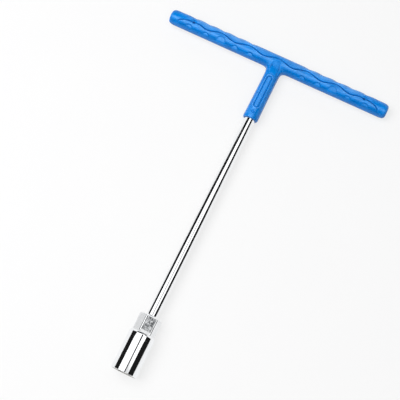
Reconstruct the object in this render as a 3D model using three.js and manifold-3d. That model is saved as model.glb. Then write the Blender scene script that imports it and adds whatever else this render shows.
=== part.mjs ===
// T-handle socket wrench, lying flat. Millimetres, +Z up.
// +X runs along the handle, +Y from the socket to the handle, and the origin is at the middle of the underside.
import * as THREE from 'three';
import { mergeVertices } from 'three/addons/utils/BufferGeometryUtils.js';
import Module from 'manifold-3d';

const wasm = await Module();
wasm.setup();

// Whole tool
const overallLength = 300; // socket mouth to the palm side of the grip
const handleLength = 205; // grip end to grip end
const fitGap = 0.3; // clearance round a piece that is seated in another

// Steel core
const shaftDiameter = 9.4;
const crossbarDiameter = 9.4;
const rodEndChamfer = 0.6;
const weldLeg = 3; // leg of the fillet bead on each side of the T
const weldWidth = 6; // length of that bead across the rods
const weldRoot = 1; // how far the bead's block starts inside the rods before they are cut away
const copeHeight = 2.2; // how far the shaft's end reaches up the sides of the crossbar

// Moulded grip
const gripWall = 1.55; // over the crossbar
const gripEndWall = 3; // past each end of the crossbar
const gripEndRound = 2.5;
const neckReach = 56.5; // crossbar axis to the end of the neck
const neckTopWall = 1.2; // over the shaft, under the handle
const neckEndWall = 1.55; // over the shaft, at the open end
const neckEndRound = 1.2;
const teeFillet = 5; // blend between the handle and the neck
const scallopStart = 27; // middle of the tool to the first finger scallop on each side
const scallopPitch = 13.5; // along the palm side
const scallopDepth = 0.45;
const waveMiddle = 4.5; // degrees from the front's middle towards the palm, for the groove that waves along the handle
const waveSwing = 13; // degrees to each side of that
const waveGroove = 0.75; // how deep it is cut
const waveHookFoot = -48; // degrees, where it hooks round to the finger side at each end
const panelLength = 30.5; // sunk panel on the front of the neck
const panelWidth = 4.6;
const panelDepth = 0.75;
const panelSetback = 10.4; // open end of the neck to the panel

// Socket
const driveAcrossFlats = 17; // nut that it turns
const driveClearance = 0.1; // on each side of that nut
const driveDepth = 18;
const cornerRelief = 0.6; // radius of the relief in each corner of the drive
const leadInRise = 0.45; // depth of the mouth's conical lead-in for each unit of its radius
const rimWall = 1.37; // from the corners of the drive to the outside
const clearanceBoreDiameter = 14; // for the bolt's end
const clearanceBoreLength = 9;
const webThickness = 7.5; // between that bore and the shaft's seat
const mouthBevel = 0.5;
const shoulderRound = 1.2;
const hexNeckWall = 3.7; // over the shaft, at the flats
const hexNeckLength = 15;
const hexNeckChamfer = 1.1;
const hexNeckTurn = 12.6; // degrees that its front flat is turned round the shaft, towards +X
const seamLeg = 1.3; // weld seam where the shaft enters the hex neck

// How round the round pieces are
const rodSegments = 48;
const gripSegments = 32;
const socketSegments = 72;
const arcSteps = 6;
const scallopSteps = 4;
const waveSteps = 6; // for each scallop
const overrun = 1; // how far a cut runs past the face that it opens

// Derived places
const cos30 = Math.cos(Math.PI / 6);
const shaftRadius = shaftDiameter / 2;
const crossbarRadius = crossbarDiameter / 2;
const gripRadius = crossbarRadius + fitGap + gripWall;
const neckTopRadius = shaftRadius + fitGap + neckTopWall;
const neckEndRadius = shaftRadius + fitGap + neckEndWall;
const driveFlat = driveAcrossFlats / 2 + driveClearance;
const driveCorner = driveFlat / cos30;
const socketRadius = driveCorner + rimWall;
const hexNeckFlat = shaftRadius + fitGap + hexNeckWall;
const hexNeckCorner = hexNeckFlat / cos30;
const socketLength = driveDepth + clearanceBoreLength + webThickness;
const axisHeight = socketRadius;
const mouthY = -overallLength / 2;
const driveEndY = mouthY + driveDepth;
const boreEndY = driveEndY + clearanceBoreLength;
const shoulderY = mouthY + socketLength;
const hexTopY = shoulderY + hexNeckLength;
const teeY = overallLength / 2 - gripRadius;
const neckEndY = teeY - neckReach;
const crossbarLength = handleLength - 2 * gripEndWall;
const wavePitch = 2 * scallopPitch;
const waveReach = wavePitch * Math.floor((handleLength / 2 - gripEndRound - scallopPitch) / wavePitch);

// Geometry to solid and back
function solid(geometry) {
  const bare = geometry.clone();
  bare.deleteAttribute('normal');
  bare.deleteAttribute('uv');
  const merged = mergeVertices(bare, 1e-4);
  const vertProperties = new Float32Array(merged.attributes.position.array);
  const triVerts = new Uint32Array(merged.index.array);
  return new wasm.Manifold(new wasm.Mesh({ numProp: 3, vertProperties, triVerts }));
}

function addPart(group, name, body, material) {
  const mesh = body.getMesh();
  const geometry = new THREE.BufferGeometry();
  geometry.setAttribute('position', new THREE.BufferAttribute(mesh.vertProperties, 3));
  geometry.setIndex(new THREE.BufferAttribute(mesh.triVerts, 1));
  geometry.computeVertexNormals();
  const part = new THREE.Mesh(geometry, material);
  part.name = name;
  part.position.z = axisHeight;
  group.add(part);
}

// Points of a quarter round of a turned profile, from one angle to another
function roundPoints(centreRadius, centreY, radius, fromAngle, toAngle) {
  const points = [];
  for (let step = 0; step <= arcSteps; step += 1) {
    const angle = THREE.MathUtils.lerp(fromAngle, toAngle, step / arcSteps);
    points.push([centreRadius + radius * Math.cos(angle), centreY + radius * Math.sin(angle)]);
  }
  return points;
}

// A profile of [radius, y] turned round the shaft's axis
function turned(profile, segments) {
  const points = profile.map(([radius, y]) => new THREE.Vector2(radius, y));
  return new THREE.LatheGeometry(points, segments);
}

function roundBar(radius, fromY, toY, chamfer, segments) {
  return turned([
    [0, fromY],
    [radius - chamfer, fromY],
    [radius, fromY + chamfer],
    [radius, toY - chamfer],
    [radius - chamfer, toY],
    [0, toY],
  ], segments);
}

function plainBar(radius, fromY, toY, segments) {
  return turned([[0, fromY], [radius, fromY], [radius, toY], [0, toY]], segments);
}

// Lays a piece that was turned round Y along the handle
function alongHandle(geometry) {
  return geometry.rotateZ(-Math.PI / 2).translate(0, teeY, 0);
}

// A hexagonal prism along Y with its flats facing up and down
function hexPrism(corner, fromY, toY) {
  const shape = new THREE.Shape();
  for (let side = 0; side < 6; side += 1) {
    const angle = side * Math.PI / 3;
    const x = corner * Math.cos(angle);
    const y = corner * Math.sin(angle);
    if (side === 0) shape.moveTo(x, y);
    else shape.lineTo(x, y);
  }
  shape.closePath();
  const prism = new THREE.ExtrudeGeometry(shape, { depth: toY - fromY, bevelEnabled: false });
  return prism.rotateX(-Math.PI / 2).translate(0, fromY, 0);
}

// Steel rods, with the shaft's end coped to the crossbar
function crossbarBody(gap) {
  const half = crossbarLength / 2 + gap;
  return solid(alongHandle(roundBar(crossbarRadius + gap, -half, half, rodEndChamfer, rodSegments)));
}

function shaftBody() {
  const top = teeY - crossbarRadius + copeHeight;
  const bar = solid(roundBar(shaftRadius, shoulderY + fitGap, top, rodEndChamfer, rodSegments));
  return bar.subtract(crossbarBody(fitGap));
}

// Block that a weld bead is cut from, in the corner between the two rods
function beadBlock(side, gap) {
  const inner = shaftRadius - weldRoot;
  const base = crossbarRadius - weldRoot;
  const shape = new THREE.Shape();
  shape.moveTo(side * inner, teeY - base);
  shape.lineTo(side * inner, teeY - crossbarRadius - weldLeg - gap);
  shape.lineTo(side * (shaftRadius + weldLeg + gap), teeY - base);
  shape.closePath();
  const width = weldWidth + 2 * gap;
  return solid(new THREE.ExtrudeGeometry(shape, { depth: width, bevelEnabled: false }).translate(0, 0, -width / 2));
}

function beadBody(side) {
  const shaftHole = solid(plainBar(shaftRadius + fitGap, neckEndY, teeY, rodSegments));
  return beadBlock(side, 0).subtract(crossbarBody(fitGap)).subtract(shaftHole);
}

// Depth of the finger scallops at a distance from the middle of the handle
function scallopAt(distance, straight) {
  const count = Math.floor((straight - scallopStart) / scallopPitch + 0.5);
  const turn = (distance - scallopStart) / scallopPitch + 0.5;
  if (turn < 0 || turn > count) return 0;
  return scallopDepth * (0.5 - 0.5 * Math.cos(2 * Math.PI * turn));
}

// Grip handle, with scallops along its palm side
function handleGeometry() {
  const half = handleLength / 2;
  const straight = half - gripEndRound;
  const steps = Math.ceil(2 * straight / (scallopPitch / scallopSteps));
  const corner = gripRadius - gripEndRound;
  const profile = [[0, -half], ...roundPoints(corner, -straight, gripEndRound, -Math.PI / 2, 0)];
  for (let step = 1; step < steps; step += 1) {
    profile.push([gripRadius, THREE.MathUtils.lerp(-straight, straight, step / steps)]);
  }
  profile.push(...roundPoints(corner, straight, gripEndRound, 0, Math.PI / 2), [0, half]);
  const geometry = alongHandle(turned(profile, gripSegments));
  const position = geometry.attributes.position;
  for (let i = 0; i < position.count; i += 1) {
    const palm = Math.max(0, (position.getY(i) - teeY) / gripRadius);
    const depth = palm * scallopAt(Math.abs(position.getX(i)), straight);
    position.setY(i, position.getY(i) - depth);
  }
  return geometry;
}

// Extra half-width of the neck where it blends into the handle
function teeFlare(belowHandle) {
  const d = THREE.MathUtils.clamp(belowHandle, 0, teeFillet);
  return teeFillet - Math.sqrt(teeFillet ** 2 - (teeFillet - d) ** 2);
}

function neckGeometry() {
  const blendStart = teeY - gripRadius - teeFillet;
  const blendSteps = 3 * arcSteps;
  const profile = [
    [0, neckEndY],
    ...roundPoints(neckEndRadius - neckEndRound, neckEndY + neckEndRound, neckEndRound, -Math.PI / 2, 0),
  ];
  for (let step = 0; step <= blendSteps; step += 1) {
    profile.push([neckTopRadius, THREE.MathUtils.lerp(blendStart, teeY, step / blendSteps)]);
  }
  profile.push([0, teeY]);
  const geometry = turned(profile, gripSegments);
  const position = geometry.attributes.position;
  for (let i = 0; i < position.count; i += 1) {
    const y = position.getY(i);
    const z = position.getZ(i);
    const handleY = teeY - Math.sqrt(Math.max(0, gripRadius ** 2 - z ** 2));
    const flare = 1 + teeFlare(handleY - y) / neckTopRadius;
    position.setX(i, position.getX(i) * flare);
  }
  return geometry;
}

// Sunk panel with round ends on the front of the neck
function panelCut() {
  const radius = panelWidth / 2;
  const fromY = neckEndY + panelSetback + radius;
  const toY = neckEndY + panelSetback + panelLength - radius;
  const shape = new THREE.Shape();
  shape.absarc(0, toY, radius, 0, Math.PI, false);
  shape.absarc(0, fromY, radius, Math.PI, 2 * Math.PI, false);
  shape.closePath();
  const options = { depth: panelDepth + overrun, bevelEnabled: false, curveSegments: arcSteps };
  return solid(new THREE.ExtrudeGeometry(shape, options).translate(0, 0, neckTopRadius - panelDepth));
}

// Groove that waves along one face of the handle and hooks round at both ends
function waveCut(face) {
  const hookHeight = waveMiddle + waveSwing - waveHookFoot;
  const points = [];
  const place = (x, degrees) => {
    const angle = THREE.MathUtils.degToRad(degrees);
    points.push(new THREE.Vector3(x, teeY + gripRadius * Math.sin(angle), face * gripRadius * Math.cos(angle)));
  };
  for (let step = waveSteps; step > 0; step -= 1) {
    const turn = Math.PI / 2 * step / waveSteps;
    place(-waveReach - scallopPitch * Math.sin(turn), waveHookFoot + hookHeight * Math.cos(turn));
  }
  const stepsAlong = 2 * waveSteps * waveReach / scallopPitch;
  for (let step = 0; step <= stepsAlong; step += 1) {
    const x = THREE.MathUtils.lerp(-waveReach, waveReach, step / stepsAlong);
    place(x, waveMiddle + waveSwing * Math.cos(2 * Math.PI * x / wavePitch));
  }
  for (let step = 1; step <= waveSteps; step += 1) {
    const turn = Math.PI / 2 * step / waveSteps;
    place(waveReach + scallopPitch * Math.sin(turn), waveHookFoot + hookHeight * Math.cos(turn));
  }
  const section = new THREE.Shape().absarc(0, 0, waveGroove, 0, 2 * Math.PI, false);
  const options = {
    steps: points.length - 1, curveSegments: waveSteps, bevelEnabled: false,
    extrudePath: new THREE.CatmullRomCurve3(points),
  };
  return solid(new THREE.ExtrudeGeometry(section, options));
}

function gripBody() {
  const shaftHole = solid(plainBar(shaftRadius + fitGap, neckEndY - overrun, teeY, rodSegments));
  return solid(handleGeometry())
    .add(solid(neckGeometry()))
    .subtract(crossbarBody(fitGap))
    .subtract(shaftHole)
    .subtract(beadBlock(-1, fitGap))
    .subtract(beadBlock(1, fitGap))
    .subtract(panelCut())
    .subtract(waveCut(1))
    .subtract(waveCut(-1));
}

// Socket: a turned barrel and a hex neck in one forging
function barrelGeometry() {
  const shoulderCentre = socketRadius - shoulderRound;
  return turned([
    [0, mouthY],
    [socketRadius - mouthBevel, mouthY],
    [socketRadius, mouthY + mouthBevel],
    ...roundPoints(shoulderCentre, shoulderY - shoulderRound, shoulderRound, 0, Math.PI / 2),
    [0, shoulderY],
  ], socketSegments);
}

function hexNeckBody() {
  const bottomY = shoulderY - shoulderRound;
  const chamferRise = hexNeckChamfer / 2;
  const turning = turned([
    [0, bottomY],
    [hexNeckCorner, bottomY],
    [hexNeckCorner, hexTopY - chamferRise],
    [hexNeckCorner - hexNeckChamfer, hexTopY],
    [0, hexTopY],
  ], socketSegments);
  const prism = hexPrism(hexNeckCorner, bottomY, hexTopY).rotateY(THREE.MathUtils.degToRad(hexNeckTurn));
  return solid(prism).intersect(solid(turning));
}

// Everything that is cut out of the socket's mouth
function driveBody() {
  let drive = solid(hexPrism(driveCorner, mouthY - overrun, driveEndY));
  for (let side = 0; side < 6; side += 1) {
    const angle = side * Math.PI / 3;
    const reach = driveCorner - cornerRelief / 2;
    const relief = plainBar(cornerRelief, mouthY - overrun, driveEndY, 2 * arcSteps);
    relief.translate(reach * Math.cos(angle), 0, reach * Math.sin(angle));
    drive = drive.add(solid(relief));
  }
  const mouthRadius = driveCorner + cornerRelief / 2;
  const leadIn = turned([
    [0, mouthY - overrun],
    [mouthRadius, mouthY - overrun],
    [mouthRadius, mouthY],
    [0, mouthY + mouthRadius * leadInRise],
  ], socketSegments);
  const bore = plainBar(clearanceBoreDiameter / 2, driveEndY - overrun, boreEndY, rodSegments);
  return drive.add(solid(leadIn)).add(solid(bore));
}

function socketBody() {
  const seat = plainBar(shaftRadius + fitGap, shoulderY, hexTopY + overrun, rodSegments);
  return solid(barrelGeometry()).add(hexNeckBody()).subtract(driveBody()).subtract(solid(seat));
}

// Hollow-faced seam of weld round the shaft, on top of the hex neck
function seamBody() {
  const inner = shaftRadius + fitGap;
  const face = roundPoints(inner + seamLeg, hexTopY + seamLeg, seamLeg, -Math.PI / 2, -Math.PI);
  return solid(turned([[inner, hexTopY], ...face, [inner, hexTopY]], rodSegments));
}

function finish(color, roughness, metalness) {
  return new THREE.MeshStandardMaterial({ color, roughness, metalness });
}

const wrench = new THREE.Group();
addPart(wrench, 'socket', socketBody(), finish('#d9dbdd', 0.12, 1));
addPart(wrench, 'socket_weld', seamBody(), finish('#cfd2d5', 0.2, 1));
addPart(wrench, 'shaft', shaftBody(), finish('#dcdee0', 0.08, 1));
addPart(wrench, 'crossbar', crossbarBody(0), finish('#8d9094', 0.45, 1));
addPart(wrench, 'crossbar_weld_left', beadBody(-1), finish('#74767a', 0.6, 1));
addPart(wrench, 'crossbar_weld_right', beadBody(1), finish('#74767a', 0.6, 1));
addPart(wrench, 'grip', gripBody(), finish('#1c7fe0', 0.5, 0));

export default wrench;
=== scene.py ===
import math
import bmesh
import bpy
from mathutils import Matrix, Vector


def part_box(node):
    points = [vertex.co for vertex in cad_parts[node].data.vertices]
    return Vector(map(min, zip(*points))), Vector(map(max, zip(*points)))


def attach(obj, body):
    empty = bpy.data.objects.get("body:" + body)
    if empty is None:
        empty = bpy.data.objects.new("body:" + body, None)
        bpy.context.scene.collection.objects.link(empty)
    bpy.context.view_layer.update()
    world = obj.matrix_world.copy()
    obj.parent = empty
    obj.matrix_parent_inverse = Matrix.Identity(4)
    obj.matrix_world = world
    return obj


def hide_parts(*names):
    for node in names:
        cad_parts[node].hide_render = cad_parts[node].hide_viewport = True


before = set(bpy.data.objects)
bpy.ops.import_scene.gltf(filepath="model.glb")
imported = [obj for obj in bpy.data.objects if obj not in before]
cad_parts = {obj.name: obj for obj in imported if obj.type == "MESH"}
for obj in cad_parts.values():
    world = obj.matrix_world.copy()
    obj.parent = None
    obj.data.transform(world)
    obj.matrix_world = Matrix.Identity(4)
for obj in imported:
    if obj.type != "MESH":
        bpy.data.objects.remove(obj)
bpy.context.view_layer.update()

mm = 0.001
scene = bpy.context.scene
scene.view_settings.view_transform = "Standard"

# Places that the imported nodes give, in metres
shaftLow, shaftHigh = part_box("shaft")
socketLow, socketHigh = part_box("socket")
barLow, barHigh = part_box("crossbar")
axisZ = (shaftLow.z + shaftHigh.z) / 2  # height of both rods' axes
teeY = (barLow.y + barHigh.y) / 2  # where the handle crosses
print("frame loaded, nodes:", ", ".join(sorted(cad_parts)))


def linearColour(hexCode):  # "#rrggbb" to linear red, green, blue, alpha
    parts = [int(hexCode[i:i + 2], 16) / 255 for i in (1, 3, 5)]
    return [c / 12.92 if c <= 0.04045 else ((c + 0.055) / 1.055) ** 2.4 for c in parts] + [1.0]


def perMm(size):  # texture scale for a pattern of this size in millimetres
    return 1 / (size * mm)


def smoothStep(low, high, value):  # 0 at low and 1 at high, which may be the smaller one
    share = min(max((value - low) / (high - low), 0.0), 1.0)
    return share * share * (3 - 2 * share)


def bell(off, width):  # 1 on a line, falling softly to 0 on both sides of it
    return math.exp(-(off / width) ** 2)


def addNode(tree, kind, settings=None, links=None):
    node = tree.nodes.new(kind)
    for name, value in (settings or {}).items():
        if isinstance(name, int) or name in node.inputs:
            node.inputs[name].default_value = value
        else:
            setattr(node, name, value)
    for name, source in (links or {}).items():
        tree.links.new(source, node.inputs[name])
    return node


def startMaterial(name):
    material = bpy.data.materials.new(name)
    material.use_nodes = True
    material.node_tree.nodes.clear()
    return material, material.node_tree


def addMesh(name, bm, materials):
    mesh = bpy.data.meshes.new(name)
    bm.to_mesh(mesh)
    bm.free()
    for material in materials:
        mesh.materials.append(material)
    thing = bpy.data.objects.new(name, mesh)
    scene.collection.objects.link(thing)
    return thing


def addPiece(name, bm, node, materials):
    bmesh.ops.recalc_face_normals(bm, faces=bm.faces)
    piece = addMesh(name, bm, materials)
    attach(piece, "root")
    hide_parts(node)
    print(name, "made:", len(piece.data.polygons), "faces")


def addStage(name, bm, material):
    thing = addMesh(name, bm, [material])
    return thing


def only(kind, made):  # the vertices, edges or faces among what an operator made
    return [g for g in made if isinstance(g, kind)]


def shadeSmooth(bm, sharpAngle=None):  # edges that turn by this many degrees or more stay sharp
    for face in bm.faces:
        face.smooth = True
    if sharpAngle:
        for edge in bm.edges:
            edge.smooth = edge.calc_face_angle(0) < math.radians(sharpAngle)


# Every look: colours, pattern sizes in mm, range of roughness, and the bump's strength and depth in mm.
# The mop's draw, the blasted grit and the vinyl's grain are really finer, and are drawn coarse to show
noiseSpan = {"From Min": 0.3, "From Max": 0.7}  # where most of a noise's values lie
mixA, mixB, mixOut = 6, 7, 2  # a Mix node's two colours, and the colour that comes out


def finishMetal(tree, tone, gloss, height, bump):
    strength, depth = bump
    relief = addNode(tree, "ShaderNodeBump", {"Strength": strength, "Distance": depth * mm},
                     {"Height": height})
    surface = addNode(tree, "ShaderNodeBsdfPrincipled", {"Metallic": 1.0},
                      {"Base Color": tone, "Roughness": gloss, "Normal": relief.outputs["Normal"]})
    addNode(tree, "ShaderNodeOutputMaterial", None, {"Surface": surface.outputs["BSDF"]})


# Polished chrome plate over turned steel: a clear mirror, with the faint draw of the polishing mop
chromeLook = {"colour": "#f8f9fa", "shade": "#f1f3f5", "smear": 9.0, "mop": 0.35, "draw": 0.12,
              "rough": (0.045, 0.085), "bump": (0.08, 0.02)}
# Satin chrome plate on the hex neck's ground flats: soft, with no clear mirror image
satinLook = {"colour": "#f4f5f6", "shade": "#eceef0", "smear": 4.0, "mop": 0.5, "draw": 0.12,
             "rough": (0.32, 0.40), "bump": (0.08, 0.02)}


def makeChromePlate(name, look):
    material, tree = startMaterial(name)
    place = addNode(tree, "ShaderNodeTexCoord").outputs["Object"]
    drawn = addNode(tree, "ShaderNodeMapping", {"Scale": (1.0, look["draw"], 1.0)}, {"Vector": place})
    smear = addNode(tree, "ShaderNodeTexNoise", {"Scale": perMm(look["smear"]), "Detail": 3.0},
                    {"Vector": place})
    mop = addNode(tree, "ShaderNodeTexNoise", {"Scale": perMm(look["mop"]), "Detail": 2.0},
                  {"Vector": drawn.outputs["Vector"]})
    tone = addNode(tree, "ShaderNodeMix", {"data_type": "RGBA", mixA: linearColour(look["colour"]),
                   mixB: linearColour(look["shade"])}, {"Factor": smear.outputs["Fac"]})
    low, high = look["rough"]
    gloss = addNode(tree, "ShaderNodeMapRange", {**noiseSpan, "To Min": low, "To Max": high},
                    {"Value": smear.outputs["Fac"]})
    finishMetal(tree, tone.outputs[mixOut], gloss.outputs["Result"], mop.outputs["Fac"], look["bump"])
    return material


# Blasted steel under the plate: a dull silver with a fine even grit
blastLook = {"colour": "#e0e2e4", "shade": "#606366", "mottle": 1.5, "spread": (0.38, 0.6), "grit": 0.3,
             "rough": (0.30, 0.46), "bump": (0.5, 0.05)}


def makeBlastedSteel():
    material, tree = startMaterial("blastedSteel")
    place = addNode(tree, "ShaderNodeTexCoord").outputs["Object"]
    mottle = addNode(tree, "ShaderNodeTexNoise", {"Scale": perMm(blastLook["mottle"]), "Detail": 4.0},
                     {"Vector": place})
    grit = addNode(tree, "ShaderNodeTexNoise", {"Scale": perMm(blastLook["grit"]), "Detail": 2.0},
                   {"Vector": place})
    low, high = blastLook["spread"]
    spread = addNode(tree, "ShaderNodeMapRange", {"From Min": low, "From Max": high},
                     {"Value": mottle.outputs["Fac"]})
    tone = addNode(tree, "ShaderNodeMix", {"data_type": "RGBA", mixA: linearColour(blastLook["shade"]),
                   mixB: linearColour(blastLook["colour"])}, {"Factor": spread.outputs["Result"]})
    low, high = blastLook["rough"]
    gloss = addNode(tree, "ShaderNodeMapRange", {**noiseSpan, "To Min": low, "To Max": high},
                    {"Value": grit.outputs["Fac"]})
    finishMetal(tree, tone.outputs[mixOut], gloss.outputs["Result"], grit.outputs["Fac"],
                blastLook["bump"])
    return material


# Broached steel inside the socket: grey, thinly plated, with the cutter's lines along the bore
broachLook = {"colour": "#b9b7b2", "shade": "#8b8985", "line": 0.45, "draw": 0.03, "stain": 5.0,
              "rough": (0.26, 0.44), "bump": (0.4, 0.05)}


def makeBroachedSteel():
    material, tree = startMaterial("broachedSteel")
    place = addNode(tree, "ShaderNodeTexCoord").outputs["Object"]
    along = addNode(tree, "ShaderNodeMapping", {"Scale": (1.0, broachLook["draw"], 1.0)}, {"Vector": place})
    line = addNode(tree, "ShaderNodeTexNoise", {"Scale": perMm(broachLook["line"]), "Detail": 3.0},
                   {"Vector": along.outputs["Vector"]})
    stain = addNode(tree, "ShaderNodeTexNoise", {"Scale": perMm(broachLook["stain"]), "Detail": 4.0},
                    {"Vector": place})
    tone = addNode(tree, "ShaderNodeMix", {"data_type": "RGBA", mixA: linearColour(broachLook["colour"]),
                   mixB: linearColour(broachLook["shade"])}, {"Factor": stain.outputs["Fac"]})
    low, high = broachLook["rough"]
    gloss = addNode(tree, "ShaderNodeMapRange", {**noiseSpan, "To Min": low, "To Max": high},
                    {"Value": line.outputs["Fac"]})
    finishMetal(tree, tone.outputs[mixOut], gloss.outputs["Result"], line.outputs["Fac"],
                broachLook["bump"])
    return material


# Drawn steel bar and weld metal, both left bare inside the grip: dull dark greys, the weld's grain coarser
darkSteelLook = {
    "drawnSteel": {"colour": "#7d8084", "shade": "#5c5f63", "grain": 0.4, "rough": 0.38},
    "weldMetal": {"colour": "#5d5d5f", "shade": "#3c3a3a", "grain": 1.2, "rough": 0.55},
    "roughSpread": 0.1, "bump": (0.4, 0.1),
}


def makeDarkSteel(name):
    look, spread = darkSteelLook[name], darkSteelLook["roughSpread"]
    material, tree = startMaterial(name)
    place = addNode(tree, "ShaderNodeTexCoord").outputs["Object"]
    grain = addNode(tree, "ShaderNodeTexNoise", {"Scale": perMm(look["grain"]), "Detail": 4.0},
                    {"Vector": place}).outputs["Fac"]
    tone = addNode(tree, "ShaderNodeMix", {"data_type": "RGBA", mixA: linearColour(look["colour"]),
                   mixB: linearColour(look["shade"])}, {"Factor": grain})
    gloss = addNode(tree, "ShaderNodeMapRange", {"To Min": look["rough"] - spread,
                    "To Max": look["rough"] + spread}, {"Value": grain})
    finishMetal(tree, tone.outputs[mixOut], gloss.outputs["Result"], grain, darkSteelLook["bump"])
    return material


# Soft PVC, moulded: a saturated blue with a waxy sheen and the mould's fine spark-eroded grain. A relief
# value lays a paler painted sheen and highlight and a darker painted shade on it
vinylLook = {
    "colour": "#027dd6", "shade": "#026dc0", "cloud": 7.0, "grain": 0.45,
    "sheenColour": "#74b6fa", "sheenRange": (0.12, 0.8), "sheenMost": 0.6,  # painted sheen and highlight: paler from this relief on, in mm
    "deep": "#013a80", "groove": (-0.2, -1.0), "shadeMost": 0.95,  # painted shade: darker from this relief on, in mm
    "rough": (0.15, 0.24), "ior": 1.53, "specular": 0.6, "glint": "#a4daff", "bump": (0.35, 0.08),
}


def makeMouldedVinyl():
    look = vinylLook
    material, tree = startMaterial("mouldedVinyl")
    place = addNode(tree, "ShaderNodeTexCoord").outputs["Object"]
    cloud = addNode(tree, "ShaderNodeTexNoise", {"Scale": perMm(look["cloud"]), "Detail": 4.0},
                    {"Vector": place})
    grain = addNode(tree, "ShaderNodeTexNoise", {"Scale": perMm(look["grain"]), "Detail": 3.0},
                    {"Vector": place})
    # Height above the plain form, with painted sheen (above 0) and painted shade (below 0) added, in metres
    height = addNode(tree, "ShaderNodeAttribute", {"attribute_name": "relief"}).outputs["Fac"]
    spread = addNode(tree, "ShaderNodeMapRange", noiseSpan, {"Value": cloud.outputs["Fac"]})
    tone = addNode(tree, "ShaderNodeMix", {"data_type": "RGBA", mixA: linearColour(look["colour"]),
                   mixB: linearColour(look["shade"])}, {"Factor": spread.outputs["Result"]})
    # Painted sheen and highlight: paler where that value is high
    low, high = look["sheenRange"]
    sheenShare = addNode(tree, "ShaderNodeMapRange", {"From Min": low * mm, "From Max": high * mm,
                     "To Max": look["sheenMost"]}, {"Value": height})
    bright = addNode(tree, "ShaderNodeMix", {"data_type": "RGBA", mixB: linearColour(look["sheenColour"])},
                     {"Factor": sheenShare.outputs["Result"], mixA: tone.outputs[mixOut]})
    # Painted shade: darker where that value is low, in grooves, creases and pits and low on the finger side
    low, high = look["groove"]
    sunk = addNode(tree, "ShaderNodeMapRange", {"From Min": low * mm, "From Max": high * mm,
                   "To Max": look["shadeMost"]}, {"Value": height})
    deep = addNode(tree, "ShaderNodeMix", {"data_type": "RGBA", mixB: linearColour(look["deep"])},
                   {"Factor": sunk.outputs["Result"], mixA: bright.outputs[mixOut]})
    low, high = look["rough"]
    gloss = addNode(tree, "ShaderNodeMapRange", {**noiseSpan, "To Min": low, "To Max": high},
                    {"Value": grain.outputs["Fac"]})
    strength, depth = look["bump"]
    relief = addNode(tree, "ShaderNodeBump", {"Strength": strength, "Distance": depth * mm},
                     {"Height": grain.outputs["Fac"]})
    surface = addNode(tree, "ShaderNodeBsdfPrincipled", {"Metallic": 0.0, "IOR": look["ior"],
                      "Specular IOR Level": look["specular"], "Specular Tint": linearColour(look["glint"])},
                      {"Base Color": deep.outputs[mixOut], "Roughness": gloss.outputs["Result"],
                       "Normal": relief.outputs["Normal"]})
    addNode(tree, "ShaderNodeOutputMaterial", None, {"Surface": surface.outputs["BSDF"]})
    return material


chromePlate = makeChromePlate("polishedChromePlate", chromeLook)
satinPlate = makeChromePlate("satinChromePlate", satinLook)
blastedSteel = makeBlastedSteel()
broachedSteel = makeBroachedSteel()
mouldedVinyl = makeMouldedVinyl()
print("materials made")

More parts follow.
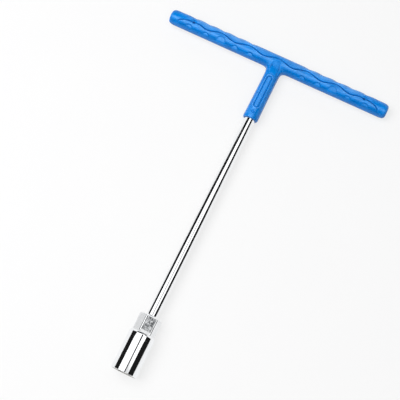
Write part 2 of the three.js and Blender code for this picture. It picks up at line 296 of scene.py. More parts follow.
# Grip: a smoothed cage, eight sides round the handle and eight round the neck, that takes the moulded
# pattern. Sizes in mm; angles in degrees from the front's middle, up towards the palm
gripForm = {
    "sides": 8, "levels": 4, "radius": 6.7,
    "endRings": ((102.45, 2.8), (102.2, 5.2), (99.9, 6.66)),  # distance from the middle, radius
    "stations": (95.5, 87.5, 79, 71, 62.5, 54.5, 46, 38, 29.5, 21.5, 14, 6.6),
    # Drop from the handle's axis, and radius: down the neck, round its lip and up its bore
    "neckRings": ((13.6, 6.4), (19, 6.4), (25, 6.42), (32, 6.45), (39, 6.5), (46, 6.54), (51.5, 6.6),
                  (55.0, 6.8), (56.6, 6.3), (56.6, 5.0), (55.4, 4.78), (51, 4.78), (46, 4.78)),
    "neckRoot": 0.7,  # faces lower than this share of the radius carry the neck
    "boreTop": -44.0, "boreReach": 5.4,  # lower than this and nearer its axis is the neck's bore
    "handleFoot": (-9.5, -6.5), "skin": (4.5, 6.2), "axisClear": 0.1, "neckFront": 5.5,  # where patterns go
    # Wave line, the arc that turns it down at each end, its lip, and the raised palm side
    "waveMiddle": 4.5, "waveSwing": 13.0, "wavePitch": 27.0, "waveFade": 68.0, "waveEnd": 81.0,
    "arcReach": 13.5, "arcFoot": -48.0, "arcFade": (-0.5, 2.5), "arcLeastSlope": 0.05,
    "grooveDepth": 0.9, "grooveWidth": 0.45, "lipHeight": 0.28, "lipPlace": -1.05, "lipWidth": 0.4,
    "palmRaise": 0.3, "palmStep": (0.1, 1.1), "palmAngles": (60, 85), "palmEnd": (84, 92),
    "pitPlace": 80.3, "pitRadius": 1.15, "pitDepth": 1.3,
    "rowDraw": 0.45, "rowDrawWidth": 18, "rowFollowWidth": 25, "rowFollowFade": 15,  # the mesh beside it
    # Scoops, each with its distance from the middle, half width, foot's angle and height
    "scoops": ((24.5, 2.9, -52, 2.4), (39.0, 3.0, -53, 2.9), (52.6, 4.0, -45, 4.4), (66.8, 2.4, -44, 1.7),
               (83.0, 2.7, -41, 2.0)),
    "scoopRise": 0.1, "scoopSink": 0.55, "scoopEdge": (1.06, 0.94), "scoopFoot": (-0.7, 0.2),
    "scoopLine": 0.38, "scoopLineFoot": (0.0, 0.4), "scoopFar": 1.6,
    "scoopSheen": (0.38, 0.26), "scoopLineShade": 0.85,  # painted sheen inside the scoops in the left half and in the right, and painted shade along their upper arcs
    # Painted sheen along the front's middle, and painted shade low on the finger side
    "frontSheen": 0.43, "frontAngle": -17.0, "frontWidth": 12.0,
    "fingerShade": 0.4, "fingerAngles": (-26.0, -44.0),
    # Dips along the palm, which lean a little, with painted shade in them and painted sheen between them
    "dipStart": 27.0, "dipPitch": 13.5, "dipCount": 5, "dipDepth": 0.62, "dipSharp": 1.3,
    "dipAngles": (28, 70), "dipSlant": 10.0, "slantAngle": 60, "slantEnd": (66, 88), "dipPaintedShade": 0.6,
    "palmSheen": 0.34, "palmSheenLost": 0.7, "palmSheenStart": (2, 16), "palmSheenEnd": (75, 40),
    # Creases at the tee
    "creaseDepth": 0.4, "creaseFoot": 13.6, "creaseHalf": (2.6, 4.6), "creaseWidths": (0.6, 0.45),
    "creaseStart": (1.0, 4.0), "creaseFade": 1.0, "creaseRim": 0.4,
    # Panel on the neck, and the round print of the mould's ejector pin
    "panelMiddle": 30.9, "panelLength": 30.5, "panelWidth": 4.3,
    "panelSink": 0.2, "panelEdge": (0.25, -0.35), "panelGroove": 0.68, "panelGrooveWidth": 0.45,
    "panelRim": 0.36, "panelRimPlace": 1.1, "panelRimWidth": 0.5,
    "ejectorDrop": 50.6, "ejectorRadius": 1.0, "ejectorDepth": 0.6, "ejectorWidth": 0.4,
    # Painted sheen down the neck's front
    "neckSheen": 0.43, "neckSheenPlace": -0.6, "neckSheenWidth": 2.6, "neckSheenStart": (9.5, 15),
    "teeClear": (1.5, 4.5), "sheenDepth": -0.4,  # no painted sheen at the tee's middle, nor this low in a groove
    "seamHeight": 0.12, "seamWidth": 0.3,  # the mould's parting line
}


def drawOut(bm, faces, keepStart=False):  # extrudes faces, and leaves none of the old ones inside
    made = bmesh.ops.extrude_face_region(bm, geom=faces)["geom"]
    if not keepStart:
        bmesh.ops.delete(bm, geom=faces, context="FACES")
    return only(bmesh.types.BMFace, made), only(bmesh.types.BMVert, made)


def gripCage():
    bm = bmesh.new()
    sideTurn = 2 * math.pi / gripForm["sides"]
    grow = 6 / (4 + 2 * math.cos(sideTurn))  # smoothing draws a ring in by this
    half = list(gripForm["endRings"]) + [(x, gripForm["radius"]) for x in gripForm["stations"]]
    rings = [(-x, radius) for x, radius in half] + [(0, gripForm["radius"])] + half[::-1]
    start, radius = rings[0]
    upright = Matrix.Translation((start, 0, 0)) @ Matrix.Rotation(math.radians(90), 4, "Y")
    bmesh.ops.create_circle(bm, cap_ends=True, segments=gripForm["sides"], radius=radius * grow,
                            matrix=upright)
    cap = bm.faces[:]
    place, size = start, radius
    for x, radius in rings[1:]:
        cap, verts = drawOut(bm, cap, keepStart=place == start)
        bmesh.ops.translate(bm, verts=verts, vec=(x - place, 0, 0))
        bmesh.ops.scale(bm, verts=verts, vec=(1, radius / size, radius / size))
        place, size = x, radius
    # The neck grows from the four faces under the middle
    reach = gripForm["stations"][-1]
    patch = []
    for face in bm.faces:
        middle = face.calc_center_median()
        if abs(middle.x) < reach and middle.y < -gripForm["radius"] * gripForm["neckRoot"]:
            patch.append(face)
    for drop, radius in gripForm["neckRings"]:
        patch, verts = drawOut(bm, patch)
        inner = set(patch)
        rim = {v for f in patch for e in f.edges if not set(e.link_faces) <= inner for v in e.verts}
        for vert in verts:
            turn = math.atan2(round(vert.co.z, 3), round(vert.co.x, 3))
            turn = round(turn / sideTurn) * sideTurn
            wide = radius * grow if vert in rim else 0
            vert.co = Vector((wide * math.cos(turn), -drop, wide * math.sin(turn)))
    bmesh.ops.recalc_face_normals(bm, faces=bm.faces)
    return bm


def smoothedCage(bm):
    cage = addMesh("gripCage", bm, [])
    smoother = cage.modifiers.new("round", "SUBSURF")
    smoother.levels = smoother.render_levels = gripForm["levels"]
    smoothed = bpy.data.meshes.new_from_object(cage.evaluated_get(bpy.context.evaluated_depsgraph_get()))
    bpy.data.objects.remove(cage)
    result = bmesh.new()
    result.from_mesh(smoothed)
    return result


def arcOf(angle):  # length round the handle for an angle, in mm
    return gripForm["radius"] * math.radians(angle)


def waveAngle(x):  # where the wave line runs
    form = gripForm
    swing = form["waveSwing"] * math.cos(2 * math.pi * x / form["wavePitch"])
    return form["waveMiddle"] + swing * (1 - smoothStep(form["waveFade"], form["waveEnd"], abs(x)))


def followWave(x, angle):  # slides a row of the mesh so that rows run along the wave line, closer beside it
    form = gripForm
    off = angle - form["waveMiddle"]
    drawn = off * (1 - form["rowDraw"] * bell(off, form["rowDrawWidth"]))
    fade = 1 - smoothStep(form["waveEnd"], form["waveEnd"] + form["rowFollowFade"], abs(x))
    near = bell(off, form["rowFollowWidth"]) * fade
    return form["waveMiddle"] + drawn + near * (waveAngle(x) - form["waveMiddle"])


def handleRelief(x, angle):  # height of the wave line, its lip, the palm side and the pits, in mm
    form = gripForm
    across, arc = abs(x), arcOf(angle)
    if across <= form["waveEnd"]:
        slope = arcOf(waveAngle(x + 0.5) - waveAngle(x - 0.5))  # over one millimetre
        off = (arc - arcOf(waveAngle(x))) / math.hypot(1, slope)
        line = 1.0
    else:
        foot, (fadeStart, fadeEnd) = arcOf(form["arcFoot"]), form["arcFade"]
        reach, rise = form["arcReach"], arcOf(waveAngle(form["waveEnd"])) - foot
        u, v = (across - form["waveEnd"]) / reach, (arc - foot) / rise
        off = (u * u + v * v - 1) / max(2 * math.hypot(u / reach, v / rise), form["arcLeastSlope"])
        line = smoothStep(foot + fadeStart, foot + fadeEnd, arc)
    palm, palmEnd = 1 - smoothStep(*form["palmAngles"], angle), 1 - smoothStep(*form["palmEnd"], across)
    height = -form["grooveDepth"] * line * bell(off, form["grooveWidth"])
    height += form["lipHeight"] * line * bell(off - form["lipPlace"], form["lipWidth"])
    height += form["palmRaise"] * smoothStep(*form["palmStep"], off) * palm * palmEnd
    # Pit at each end of the wave line
    pit = math.hypot(across - form["pitPlace"], arc - arcOf(waveAngle(form["pitPlace"])))
    if pit < 2 * form["pitRadius"]:
        height = min(height, -form["pitDepth"] * math.exp(-(pit / form["pitRadius"]) ** 4))
    return height


def scoopRelief(x, angle):  # height of the finger side's scoops, and its painted sheen (or painted shade, below 0), in mm
    form = gripForm
    leftSheen, rightSheen = form["scoopSheen"]
    paintedSheen = rightSheen if x > 0 else leftSheen
    height = 0.0
    # Painted sheen along the front, less painted shade low on the finger side
    paintedShading = form["frontSheen"] * bell(angle - form["frontAngle"], form["frontWidth"])
    paintedShading -= form["fingerShade"] * smoothStep(*form["fingerAngles"], angle)
    for place, wide, foot, tall in form["scoops"]:
        u = (abs(x) - place) / wide
        v = arcOf(angle - foot) / tall
        reach = math.hypot(u, max(v, 0))
        if v < -1 or reach > form["scoopFar"]:
            continue
        inside = smoothStep(*form["scoopEdge"], reach) * smoothStep(*form["scoopFoot"], v)
        line = bell((reach - 1) * tall, form["scoopLine"]) * smoothStep(*form["scoopLineFoot"], v)
        height += inside * (form["scoopRise"] - form["scoopSink"] * v)
        # Painted sheen inside the scoop, and painted shade along its upper arc
        paintedShading += (paintedSheen - paintedShading) * inside
        paintedShading -= (form["scoopLineShade"] + paintedShading) * line
    return height, paintedShading


def palmDip(x, angle):  # depth of the dips along the palm, with painted sheen between them and painted shade in them, in mm
    form = gripForm
    lean = math.radians(angle - form["slantAngle"])
    slant = form["dipSlant"] * lean * (1 - smoothStep(*form["slantEnd"], angle))
    count = form["dipCount"]
    turn = (abs(x) - slant - form["dipStart"]) / form["dipPitch"] + 0.5  # whole numbers between two dips
    if not 0 < turn < count:
        return 0.0, 0.0
    share = (0.5 - 0.5 * math.cos(2 * math.pi * turn)) ** form["dipSharp"]
    paintedSheen = form["palmSheen"] * (1 - form["palmSheenLost"] * share) * smoothStep(0, 0.5, turn)
    paintedSheen *= smoothStep(count, count - 0.5, turn)
    paintedSheen *= smoothStep(*form["palmSheenStart"], angle) * smoothStep(*form["palmSheenEnd"], angle)
    depth = form["dipDepth"] * share * smoothStep(*form["dipAngles"], angle)
    return depth, paintedSheen - form["dipPaintedShade"] * depth


def teeRelief(x, drop):  # creases that part the neck's root from the handle, on the front, in mm
    form = gripForm
    near, far = form["creaseHalf"]
    sideWidth, footWidth = form["creaseWidths"]
    foot, rim = form["creaseFoot"], form["creaseRim"]
    half = near + (far - near) * drop / foot
    sides = bell(abs(x) - half, sideWidth) * smoothStep(*form["creaseStart"], drop)
    sides *= 1 - smoothStep(foot - form["creaseFade"], foot, drop)
    across = bell(drop - foot, footWidth) * smoothStep(far + rim, far - rim, abs(x))
    return -form["creaseDepth"] * max(sides, across)


def neckRelief(x, drop):  # height of the sunk panel on the neck's front, and its painted sheen, in mm
    form = gripForm
    endRadius = form["panelWidth"] / 2
    beyond = max(abs(drop - form["panelMiddle"]) - (form["panelLength"] / 2 - endRadius), 0)
    off = math.hypot(x, beyond) - endRadius
    sunk = form["panelSink"] * smoothStep(*form["panelEdge"], off)
    groove = bell(off, form["panelGrooveWidth"])
    rim = form["panelRim"] * bell(off - form["panelRimPlace"], form["panelRimWidth"])
    pin = math.hypot(x, drop - form["ejectorDrop"])
    ring = bell(pin - form["ejectorRadius"], form["ejectorWidth"])
    height = rim - sunk - form["panelGroove"] * groove - form["ejectorDepth"] * ring
    paintedSheen = form["neckSheen"] * bell(x - form["neckSheenPlace"], form["neckSheenWidth"])
    paintedSheen *= smoothStep(*form["neckSheenStart"], drop)
    return height, (paintedSheen + sunk) * (1 - groove) * (1 - ring)


def makeGrip():
    form = gripForm
    bm = smoothedCage(gripCage())
    reliefAndPaintLayer = bm.verts.layers.float.new("relief")
    for vert in bm.verts:
        x, y, z = vert.co
        side = 1 if z >= 0 else -1
        far = math.hypot(y, z)
        inBore = y < form["boreTop"] and math.hypot(x, z) < form["boreReach"]
        height = paintedShading = 0.0
        if y > form["handleFoot"][0] and far > form["axisClear"]:
            angle = followWave(x, math.degrees(math.atan2(y, abs(z))))
            body = smoothStep(*form["skin"], far) * smoothStep(*form["handleFoot"], y)
            height = handleRelief(x, angle) * body
            if side > 0:
                height += teeRelief(x, -y)
            dip, palmShading = [share * body for share in palmDip(x, angle)]
            scoop, paintedShading = [share * body for share in scoopRelief(x, angle)]
            paintedShading += palmShading
            if paintedShading > 0:
                paintedShading *= smoothStep(form["sheenDepth"], 0.0, height)  # the painted sheen stops short of the grooves
            if side > 0:
                paintedShading *= smoothStep(*form["teeClear"], abs(x))
            reach = far + height + scoop - dip
            turn = math.radians(angle)
            vert.co = Vector((x, reach * math.sin(turn), side * reach * math.cos(turn)))
        elif not inBore and side > 0 and abs(x) < form["neckFront"]:
            height, paintedShading = neckRelief(x, -y)
            height += teeRelief(x, -y)
            vert.co.z += height
        if not inBore:
            vert.co += vert.normal * (form["seamHeight"] * bell(z, form["seamWidth"]))
        # Relief height plus painted sheen and painted shade; the vinyl paints grooves darker and crests
        # paler from it
        vert[reliefAndPaintLayer] = (height + paintedShading) * mm
    shadeSmooth(bm)
    bmesh.ops.scale(bm, verts=bm.verts, vec=(mm, mm, mm))
    bmesh.ops.translate(bm, verts=bm.verts, vec=(0, teeY, axisZ))
    addPiece("gripMoulding", bm, "grip", [mouldedVinyl])


makeGrip()

turnedSharp = 30  # turned pieces keep edges of this many degrees sharp
mergeReach = 0.001  # mm between points that are one


def spunPiece(profile, steps, closed=False):  # profile of (radius, y) in mm, turned round the shaft's axis
    bm = bmesh.new()
    verts = [bm.verts.new((radius * mm, y * mm, 0)) for radius, y in profile]
    line = [bm.edges.new(pair) for pair in zip(verts, verts[1:])]
    if closed:
        line.append(bm.edges.new((verts[-1], verts[0])))
    bmesh.ops.spin(bm, geom=verts + line, cent=(0, 0, 0), axis=(0, 1, 0), angle=2 * math.pi, steps=steps,
                   use_merge=True)
    bmesh.ops.remove_doubles(bm, verts=bm.verts, dist=mergeReach * mm)
    shadeSmooth(bm, turnedSharp)
    bmesh.ops.translate(bm, verts=bm.verts, vec=(0, 0, axisZ))
    return bm


# Shaft: a ground and plated bar, broken at both ends, that stops short of the crossbar inside the grip.
# Sizes in mm
shaftForm = {"radius": (shaftHigh.x - shaftLow.x) / 2 / mm, "chamfer": 0.6, "short": 2.4,
             "rows": 12, "steps": 128}


def makeShaft():
    radius, chamfer, rows = shaftForm["radius"], shaftForm["chamfer"], shaftForm["rows"]
    low, high = shaftLow.y / mm, shaftHigh.y / mm - shaftForm["short"]
    profile = [(0, low), (radius - chamfer, low), (radius, low + chamfer)]
    profile += [(radius, low + (high - low) * i / rows) for i in range(1, rows)]
    profile += [(radius, high - chamfer), (radius - chamfer, high), (0, high)]
    bm = spunPiece(profile, shaftForm["steps"])
    addPiece("shaftBar", bm, "shaft", [chromePlate])


makeShaft()

# Seam where the shaft enters the socket: a small hollow fillet, plated with the rest. Sizes in mm
seamForm = {"leg": 1.3, "toe": 0.12, "gap": 0.03, "root": 0.3, "steps": 96, "arcSteps": 8,
            "ripples": 22, "ripple": 0.05, "still": 0.05}  # no ripple this close to the shaft or the socket


def makeSeam():
    inner, base = shaftForm["radius"] + seamForm["gap"], socketHigh.y / mm
    leg, toe, root = seamForm["leg"], seamForm["toe"], seamForm["root"]
    profile = [(inner, base - root), (inner + leg, base - root), (inner + leg, base + toe)]
    for i in range(1, seamForm["arcSteps"]):
        turn = math.pi / 2 * i / seamForm["arcSteps"]
        profile.append((inner + leg - (leg - toe) * math.sin(turn),
                        base + leg - (leg - toe) * math.cos(turn)))
    profile += [(inner + toe, base + leg), (inner, base + leg)]
    bm = spunPiece(profile, seamForm["steps"], closed=True)
    stillY, stillRadius = (base + seamForm["still"]) * mm, (inner + seamForm["still"]) * mm
    for vert in bm.verts:  # the faint ripple of the bead
        x, y, z = vert.co.x, vert.co.y, vert.co.z - axisZ
        turn = math.atan2(z, x)
        if y > stillY and math.hypot(x, z) > stillRadius:
            out = Vector((math.cos(turn), 0, math.sin(turn)))
            vert.co += out * seamForm["ripple"] * mm * math.sin(seamForm["ripples"] * turn)
    addPiece("seamBead", bm, "socket_weld", [chromePlate])


makeSeam()

# Socket: one ring is drawn out step by step from the shaft's seat, down the outside and up the bore.
# Sizes in mm, angles in degrees; an edge or a hold is a ring close to a corner that keeps it crisp
socketForm = {
    "steps": 288, "sharpAngle": 24,
    "radius": (socketHigh.z - socketLow.z) / 2 / mm,
    "seatRadius": 4.74,
    "hexFlat": 8.7, "hexLength": 15.0, "hexTurn": 12.6, "hexRound": 1.6,
    "hexChamfer": 1.1, "hexChamferRise": 0.6, "hexEdge": 0.15, "hexHold": 0.2,
    "flatSlack": 0.02, "flatCosine": 0.9995,  # how far a face of a flat may lie and turn from it
    # Blasted field on the front flat: its rows' depths under the top, half width, border and depth
    "fieldRows": (0.8, 12.4), "fieldHalf": 4.05, "fieldInset": 0.15, "fieldSink": 0.14,
    "footRound": 0.35, "footSteps": 4, "footLimit": 0.4,
    "shoulderRound": 0.7, "shoulderSteps": 8, "taperLength": 0.9, "taperAngle": 16.0, "taperEdge": 0.06,
    "barrelRows": 5, "barrelHold": 0.1, "mouthHold": 0.4, "mouthBevel": 0.5, "bevelShares": (0.7, 0.3),
    "mouthEdge": (0.1, 0.05), "leadInEdge": 0.06, "leadInHold": 0.3, "leadInRise": 0.45,
    "driveFlat": 8.6, "driveDepth": 18.0, "driveEdge": 0.3, "reliefRadius": 0.6,
    "boreRadius": 7.0, "boreDepth": 9.0, "boreEdge": 0.2, "drillRise": 1.6, "drillTip": 0.4,
}
plateFinish, fieldFinish, boreFinish, satinFinish = range(4)  # in the order of the socket's materials
hexSide = 60  # degrees from one corner of a hexagon to the next
flatShare = math.cos(math.radians(hexSide / 2))  # reach to a hexagon's flat, as a share of its corner's


def offFlat(turn):  # degrees from the middle of the nearest flat; corners at 0, 60, ... degrees
    return abs(math.degrees(turn) % hexSide - hexSide / 2)


def hexReach(turn, flat, rounding):  # distance to a hexagon with round corners
    off = offFlat(turn)
    corner = math.radians(hexSide / 2 - off)
    centre = (flat - rounding) / flatShare
    touch = math.atan2(rounding / 2, centre + rounding * flatShare)
    if corner < touch:
        return centre * math.cos(corner) + math.sqrt(rounding ** 2 - (centre * math.sin(corner)) ** 2)
    return flat / math.cos(math.radians(off))


def driveReach(turn):  # distance to the drive's wall: a hexagon with a round relief in each corner
    flat, rounding = socketForm["driveFlat"], socketForm["reliefRadius"]
    off = offFlat(turn)
    corner = math.radians(hexSide / 2 - off)
    plain = flat / math.cos(math.radians(off))
    centre = flat / flatShare - rounding / 2
    aside = centre * math.sin(corner)
    if abs(aside) < rounding:
        return max(plain, centre * math.cos(corner) + math.sqrt(rounding ** 2 - aside ** 2))
    return plain


def atAngle(value):  # a plain number holds at every angle
    return value if callable(value) else lambda turn: value


def socketRings():  # (reach at an angle, y at an angle, finish) of each ring
    form = socketForm
    top, mouth = socketHigh.y / mm, socketLow.y / mm
    shoulder = top - form["hexLength"]
    radius, bevel = form["radius"], form["mouthBevel"]
    driveEnd = mouth + form["driveDepth"]
    boreEnd = driveEnd + form["boreDepth"]
    mouthRadius = form["driveFlat"] / flatShare + form["reliefRadius"] / 2
    chamferRadius = form["hexFlat"] / flatShare - form["hexChamfer"]
    rings = []

    def ring(reach, y, finish=plateFinish):
        rings.append((atAngle(reach), atAngle(y), finish))

    def hexagon(turn):
        return hexReach(turn + math.radians(form["hexTurn"]), form["hexFlat"], form["hexRound"])

    def cutTop(turn):  # the turned chamfer on the hexagon's corners
        return top - form["hexEdge"] - max(hexagon(turn) - chamferRadius, 0) * form["hexChamferRise"]

    def leadIn(turn):  # rise of the conical lead-in where it meets the drive's wall
        return (mouthRadius - driveReach(turn)) * form["leadInRise"]

    # Seat and hexagon
    ring(form["seatRadius"], shoulder, boreFinish)
    ring(form["seatRadius"], top, boreFinish)
    ring(lambda turn: min(hexagon(turn), chamferRadius) - form["hexEdge"], top)
    ring(hexagon, cutTop, satinFinish)
    ring(hexagon, lambda turn: cutTop(turn) - form["hexHold"], satinFinish)
    for down in form["fieldRows"]:
        ring(hexagon, top - down, satinFinish)
    ring(hexagon, shoulder + form["footRound"], satinFinish)
    for i in range(1, form["footSteps"] + 1):  # small fillet at the foot of the hexagon
        turn = math.pi / 2 * i / form["footSteps"]
        lift, out = form["footRound"] * (1 - math.sin(turn)), form["footRound"] * (1 - math.cos(turn))
        ring(lambda angle, out=out: min(hexagon(angle) + out, radius - form["footLimit"]), shoulder + lift)
    # Rounded shoulder, a short taper, the barrel and the bevel at its mouth
    edge, lean = form["shoulderRound"], math.radians(form["taperAngle"])
    middle = radius - form["taperLength"] * math.tan(lean) - edge * math.cos(lean)
    for i in range(form["shoulderSteps"] + 1):
        turn = (math.pi / 2 - lean) * i / form["shoulderSteps"]
        ring(middle + edge * math.sin(turn), shoulder - edge * (1 - math.cos(turn)))
    barrelTop = shoulder - edge * (1 - math.sin(lean)) - form["taperLength"]
    ring(radius - form["taperEdge"] * math.tan(lean), barrelTop + form["taperEdge"])
    barrelDrop = mouth + bevel + form["mouthHold"] - barrelTop
    for i in range(form["barrelRows"] + 1):
        ring(radius, barrelTop - form["barrelHold"] + barrelDrop * i / form["barrelRows"])
    high, low = form["bevelShares"]
    ring(radius, mouth + bevel * high)
    ring(radius - bevel * low, mouth + bevel * low)
    ring(radius - bevel, mouth)
    # Lead-in, drive, the step that a nut stops on, and the drilled bore
    wide, deep = form["mouthEdge"]
    ring(mouthRadius + wide, mouth)
    ring(mouthRadius, mouth + deep, boreFinish)
    for start in (form["leadInEdge"], form["leadInHold"]):
        ring(driveReach, lambda turn, start=start: mouth + start + leadIn(turn), boreFinish)
    ring(driveReach, driveEnd - form["driveEdge"], boreFinish)
    ring(lambda turn: driveReach(turn) - form["driveEdge"], driveEnd, boreFinish)
    ring(form["boreRadius"] + form["boreEdge"], driveEnd, boreFinish)
    ring(form["boreRadius"], driveEnd + form["boreEdge"], boreFinish)
    ring(form["boreRadius"], boreEnd, boreFinish)
    ring(form["drillTip"], boreEnd + form["drillRise"], boreFinish)
    return rings


def drawSocket(bm):
    bmesh.ops.create_circle(bm, cap_ends=False, segments=socketForm["steps"], radius=1.0,
                            matrix=Matrix.Rotation(math.radians(90), 4, "X"))
    edges, verts = bm.edges[:], bm.verts[:]
    firstEdges = edges
    for number, (reach, y, finish) in enumerate(socketRings()):
        if number:
            made = bmesh.ops.extrude_edge_only(bm, edges=edges)["geom"]
            verts = only(bmesh.types.BMVert, made)
            newest = set(verts)
            edges = [e for e in only(bmesh.types.BMEdge, made) if set(e.verts) <= newest]
            for face in only(bmesh.types.BMFace, made):
                face.material_index = finish
        for vert in verts:
            turn = math.atan2(vert.co.z, vert.co.x)
            far = reach(turn) * mm
            vert.co = Vector((far * math.cos(turn), y(turn) * mm, far * math.sin(turn)))
    for loop in (firstEdges, edges):
        for face in bmesh.ops.edgeloop_fill(bm, edges=loop)["faces"]:
            face.material_index = boreFinish
    bmesh.ops.recalc_face_normals(bm, faces=bm.faces)


def frontField(bm, facing):  # the faces of the front flat that the blasted field takes up
    form = socketForm
    side = Vector((facing.z, 0, -facing.x))
    fieldTop, fieldEnd = [socketHigh.y - row * mm for row in form["fieldRows"]]
    field = []
    for face in bm.faces:
        middle = face.calc_center_median()
        onFlat = middle.dot(facing) > (form["hexFlat"] - form["flatSlack"]) * mm
        if onFlat and abs(middle.dot(side)) < form["fieldHalf"] * mm and fieldEnd < middle.y < fieldTop:
            field.append(face)
    return field


def makeSocket():
    form = socketForm
    bm = bmesh.new()
    drawSocket(bm)
    flats = []
    for i in range(6):
        turned = Matrix.Rotation(math.radians(form["hexTurn"] + hexSide * i), 3, "Y")
        flats.append(turned @ Vector((0, 0, 1)))
    facing = flats[0]
    field = frontField(bm, facing)
    for face in bm.faces:  # the hexagon's corners are polished
        onFlat = max(face.normal.dot(flat) for flat in flats) >= form["flatCosine"]
        if face.material_index == satinFinish and not onFlat:
            face.material_index = plateFinish
    border = bmesh.ops.inset_region(bm, faces=field, thickness=form["fieldInset"] * mm,
                                    use_even_offset=True)
    for face in border["faces"]:
        face.material_index = boreFinish
    for face in field:
        face.material_index = fieldFinish
    sunk = list({v for f in field for v in f.verts})
    bmesh.ops.translate(bm, verts=sunk, vec=-facing * form["fieldSink"] * mm)
    shadeSmooth(bm, form["sharpAngle"])
    bmesh.ops.translate(bm, verts=bm.verts, vec=(0, 0, axisZ))
    finishes = [chromePlate, blastedSteel, broachedSteel, satinPlate]
    addPiece("socketForging", bm, "socket", finishes)


makeSocket()

# The rods and weld beads inside the grip keep their CAD shapes
for nodeName, look in (("crossbar", "drawnSteel"), ("crossbar_weld_left", "weldMetal"),
                       ("crossbar_weld_right", "weldMetal")):
    steel = bpy.data.materials.get(look) or makeDarkSteel(look)
    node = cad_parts[nodeName]
    node.data.materials.clear()
    node.data.materials.append(steel)
print("inner steel dressed")

# Camera at the photograph's angle. Metres and degrees, the lens and its sensor in mm
shot = {"azimuth": 25.885, "elevation": 75.62, "distance": 0.85, "lens": 91.8, "sensor": 36.0,
        "target": (-0.00722, 0.00484)}


def makeCamera():
    turn, lift = math.radians(shot["azimuth"]), math.radians(shot["elevation"])
    back = Vector((math.sin(turn) * math.cos(lift), -math.cos(turn) * math.cos(lift), math.sin(lift)))
    lensData = bpy.data.cameras.new("camera")
    lensData.lens, lensData.sensor_width = shot["lens"], shot["sensor"]
    camera = bpy.data.objects.new("camera", lensData)
    camera.location = Vector((*shot["target"], axisZ)) + back * shot["distance"]
    camera.rotation_mode = "QUATERNION"
    camera.rotation_quaternion = (-back).to_track_quat("-Z", "Y")
    scene.collection.objects.link(camera)
    scene.camera = camera


makeCamera()
print("camera placed")

# Pale table under the wrench: it carries the barrel and leans about a degree to meet the handle. Metres,
# but the cloud's size and the room left clear under the grip for its pattern are in mm
tableForm = {"size": 3.0, "barrelY": -0.1175, "under": 0.0002, "clear": 0.6, "cloud": 60.0,
             "colour": "#dcdcdc", "shade": "#d8d8d9", "rough": 0.9, "specular": 0.1,
             "white": "#ffffff", "ownWhite": 0.735}


def makeTable():
    form = tableForm
    material, tree = startMaterial("paleTable")
    place = addNode(tree, "ShaderNodeTexCoord").outputs["Object"]
    cloud = addNode(tree, "ShaderNodeTexNoise", {"Scale": perMm(form["cloud"])}, {"Vector": place})
    tone = addNode(tree, "ShaderNodeMix", {"data_type": "RGBA", mixA: linearColour(form["colour"]),
                   mixB: linearColour(form["shade"])}, {"Factor": cloud.outputs["Fac"]})
    surface = addNode(tree, "ShaderNodeBsdfPrincipled",
                      {"Roughness": form["rough"], "Specular IOR Level": form["specular"]},
                      {"Base Color": tone.outputs[mixOut]})
    # Part of its white is its own, for the camera and the chrome alone; the rest takes light and shadow
    path = addNode(tree, "ShaderNodeLightPath")
    seen = addNode(tree, "ShaderNodeMath", {"operation": "MAXIMUM"},
                   {0: path.outputs["Is Camera Ray"], 1: path.outputs["Is Glossy Ray"]})
    share = addNode(tree, "ShaderNodeMath", {"operation": "MULTIPLY", 1: form["ownWhite"]},
                    {0: seen.outputs["Value"]})
    white = addNode(tree, "ShaderNodeEmission", {"Color": linearColour(form["white"]), "Strength": 1.0})
    mix = addNode(tree, "ShaderNodeMixShader", None,
                  {"Fac": share.outputs["Value"], 1: surface.outputs["BSDF"], 2: white.outputs["Emission"]})
    addNode(tree, "ShaderNodeOutputMaterial", None, {"Surface": mix.outputs["Shader"]})
    bm = bmesh.new()
    bmesh.ops.create_grid(bm, x_segments=1, y_segments=1, size=form["size"])
    rise = (axisZ - (gripForm["radius"] + form["clear"]) * mm) / (teeY - form["barrelY"])
    lean = Matrix.Rotation(math.atan(rise), 4, "X")
    below = Matrix.Translation((0, form["barrelY"], -form["under"]))
    bmesh.ops.transform(bm, matrix=below @ lean, verts=bm.verts)
    addStage("table", bm, material)


makeTable()

# Two softboxes overhead with a gap between them, as the chrome shows them. Outlines in metres
softboxes = {
    "height": 1.011,
    "strength": 1.4,
    "left": ((0.075, -0.9), (0.085, -0.066), (0.06, 0.0), (0.07, 0.18), (0.16, 0.28),
             (0.16, 0.502), (-1.12, 0.057), (-1.15, -0.9)),
    "right": ((0.9, -0.9), (0.88, -0.04), (1.0, 0.1), (0.98, 0.16), (0.6, 0.45), (0.46, 0.6), (0.16, 0.502),
              (0.16, 0.28), (0.25, 0.18), (0.26, 0.0), (0.245, -0.066), (0.255, -0.9)),
    "seam": ((-0.07, -0.105), (-0.19, -0.25)), "seamStrength": 0.66,  # dim across the right one, by its y
    # Upright one beyond the handle
    "farY": 1.3, "farHalf": 1.3, "farHeights": (0.25, 0.95), "farStrength": 0.6,
    # Soft lamp that the chrome does not show
    "fillSize": (0.7, 0.7), "fillPlace": (-0.45, -0.1, 0.95), "fillWatts": 9.0,
}


def seamGlow(tree, strength):  # the right softbox's strength, which falls along its seam and rises again
    place = addNode(tree, "ShaderNodeTexCoord")
    along = addNode(tree, "ShaderNodeSeparateXYZ", None, {"Vector": place.outputs["Object"]})
    dim = softboxes["seamStrength"]
    levels = []
    for (start, end), (first, last) in zip(softboxes["seam"], ((strength, dim), (dim, strength))):
        fade = addNode(tree, "ShaderNodeMapRange",
                       {"interpolation_type": "SMOOTHSTEP", "From Min": start, "From Max": end,
                        "To Min": first, "To Max": last}, {"Value": along.outputs["Y"]})
        levels.append(fade.outputs["Result"])
    seam = addNode(tree, "ShaderNodeMath", {"operation": "MAXIMUM"}, {0: levels[0], 1: levels[1]})
    return seam.outputs["Value"]


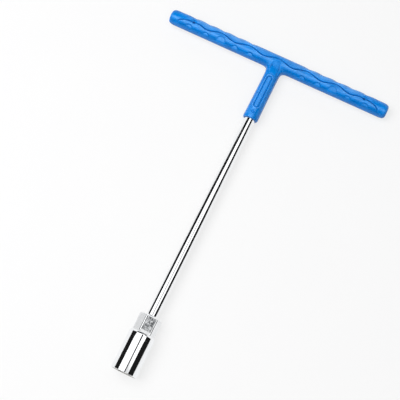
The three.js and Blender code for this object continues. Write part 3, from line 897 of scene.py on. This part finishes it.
def makeSoftboxes():
    outlines = {}
    for side in ("left", "right"):
        outlines[side] = [(x, y, softboxes["height"]) for x, y in softboxes[side]]
    half, (low, high) = softboxes["farHalf"], softboxes["farHeights"]
    upright = ((-half, low), (half, low), (half, high), (-half, high))
    outlines["far"] = [(x, softboxes["farY"], z) for x, z in upright]
    for side, corners in outlines.items():
        material, tree = startMaterial(side + "SoftboxCloth")
        strength = softboxes["farStrength"] if side == "far" else softboxes["strength"]
        glow = addNode(tree, "ShaderNodeEmission", {"Strength": strength})
        if side == "right":
            tree.links.new(seamGlow(tree, strength), glow.inputs["Strength"])
        addNode(tree, "ShaderNodeOutputMaterial", None, {"Surface": glow.outputs["Emission"]})
        bm = bmesh.new()
        bmesh.ops.contextual_create(bm, geom=[bm.verts.new(corner) for corner in corners])
        box = addStage(side + "Softbox", bm, material)
        box.visible_camera = False


def makeFillLamp():
    lamp = bpy.data.lights.new("fillLamp", "AREA")
    lamp.shape = "RECTANGLE"
    lamp.size, lamp.size_y = softboxes["fillSize"]
    lamp.energy = softboxes["fillWatts"]
    fill = bpy.data.objects.new("fillLamp", lamp)
    fill.location = softboxes["fillPlace"]
    fill.visible_camera = fill.visible_glossy = False
    scene.collection.objects.link(fill)


makeSoftboxes()
makeFillLamp()

# Dark cloths round the set, hidden from the camera. They are open low at the far side and at windows in the
# near side, where the chrome shows the white room. Radius in metres, openings in degrees
clothForm = {"radius": 2.6, "segments": (144, 72), "level": 0.012,
             "west": (9, 2.3, 36), "east": (9, 1.6, 36),  # where the opening starts, its slope, its top
             "windows": ((6, 15, 5, 17), (28, 62, 6, 32))}  # either side of the near middle, and heights


def openTowards(bearing, tall):
    westStart, westSlope, westTop = clothForm["west"]
    eastStart, eastSlope, eastTop = clothForm["east"]
    west = min((180 - bearing - westStart) * westSlope, westTop) if 90 <= bearing <= 180 else 0
    east = min((bearing - eastStart) * eastSlope, eastTop) if 0 <= bearing < 90 else 0
    if tall < max(west, east):
        return True
    aside = abs(bearing + 90)
    return any(near < aside < far and low < tall < high for near, far, low, high in clothForm["windows"])


def makeDarkCloths():
    material, tree = startMaterial("blackCloth")
    dark = addNode(tree, "ShaderNodeEmission", {"Strength": clothForm["level"]})
    addNode(tree, "ShaderNodeOutputMaterial", None, {"Surface": dark.outputs["Emission"]})
    bm = bmesh.new()
    around, upward = clothForm["segments"]
    bmesh.ops.create_uvsphere(bm, u_segments=around, v_segments=upward, radius=clothForm["radius"])
    openings = []
    for face in bm.faces:
        middle = face.calc_center_median()
        bearing = math.degrees(math.atan2(middle.y, middle.x))
        tall = math.degrees(math.asin(middle.z / middle.length))
        if openTowards(bearing, tall):
            openings.append(face)
    bmesh.ops.delete(bm, geom=openings, context="FACES")
    cloths = addStage("darkCloths", bm, material)
    cloths.visible_camera = False


makeDarkCloths()


# White room, which the camera sees behind the set
def makeRoom():
    world = bpy.data.worlds.new("whiteRoom")
    scene.world = world
    world.use_nodes = True
    tree = world.node_tree
    tree.nodes.clear()
    white = addNode(tree, "ShaderNodeBackground", {"Color": linearColour("#ffffff"), "Strength": 1.0})
    addNode(tree, "ShaderNodeOutputWorld", None, {"Surface": white.outputs["Background"]})


makeRoom()
print("stage set")
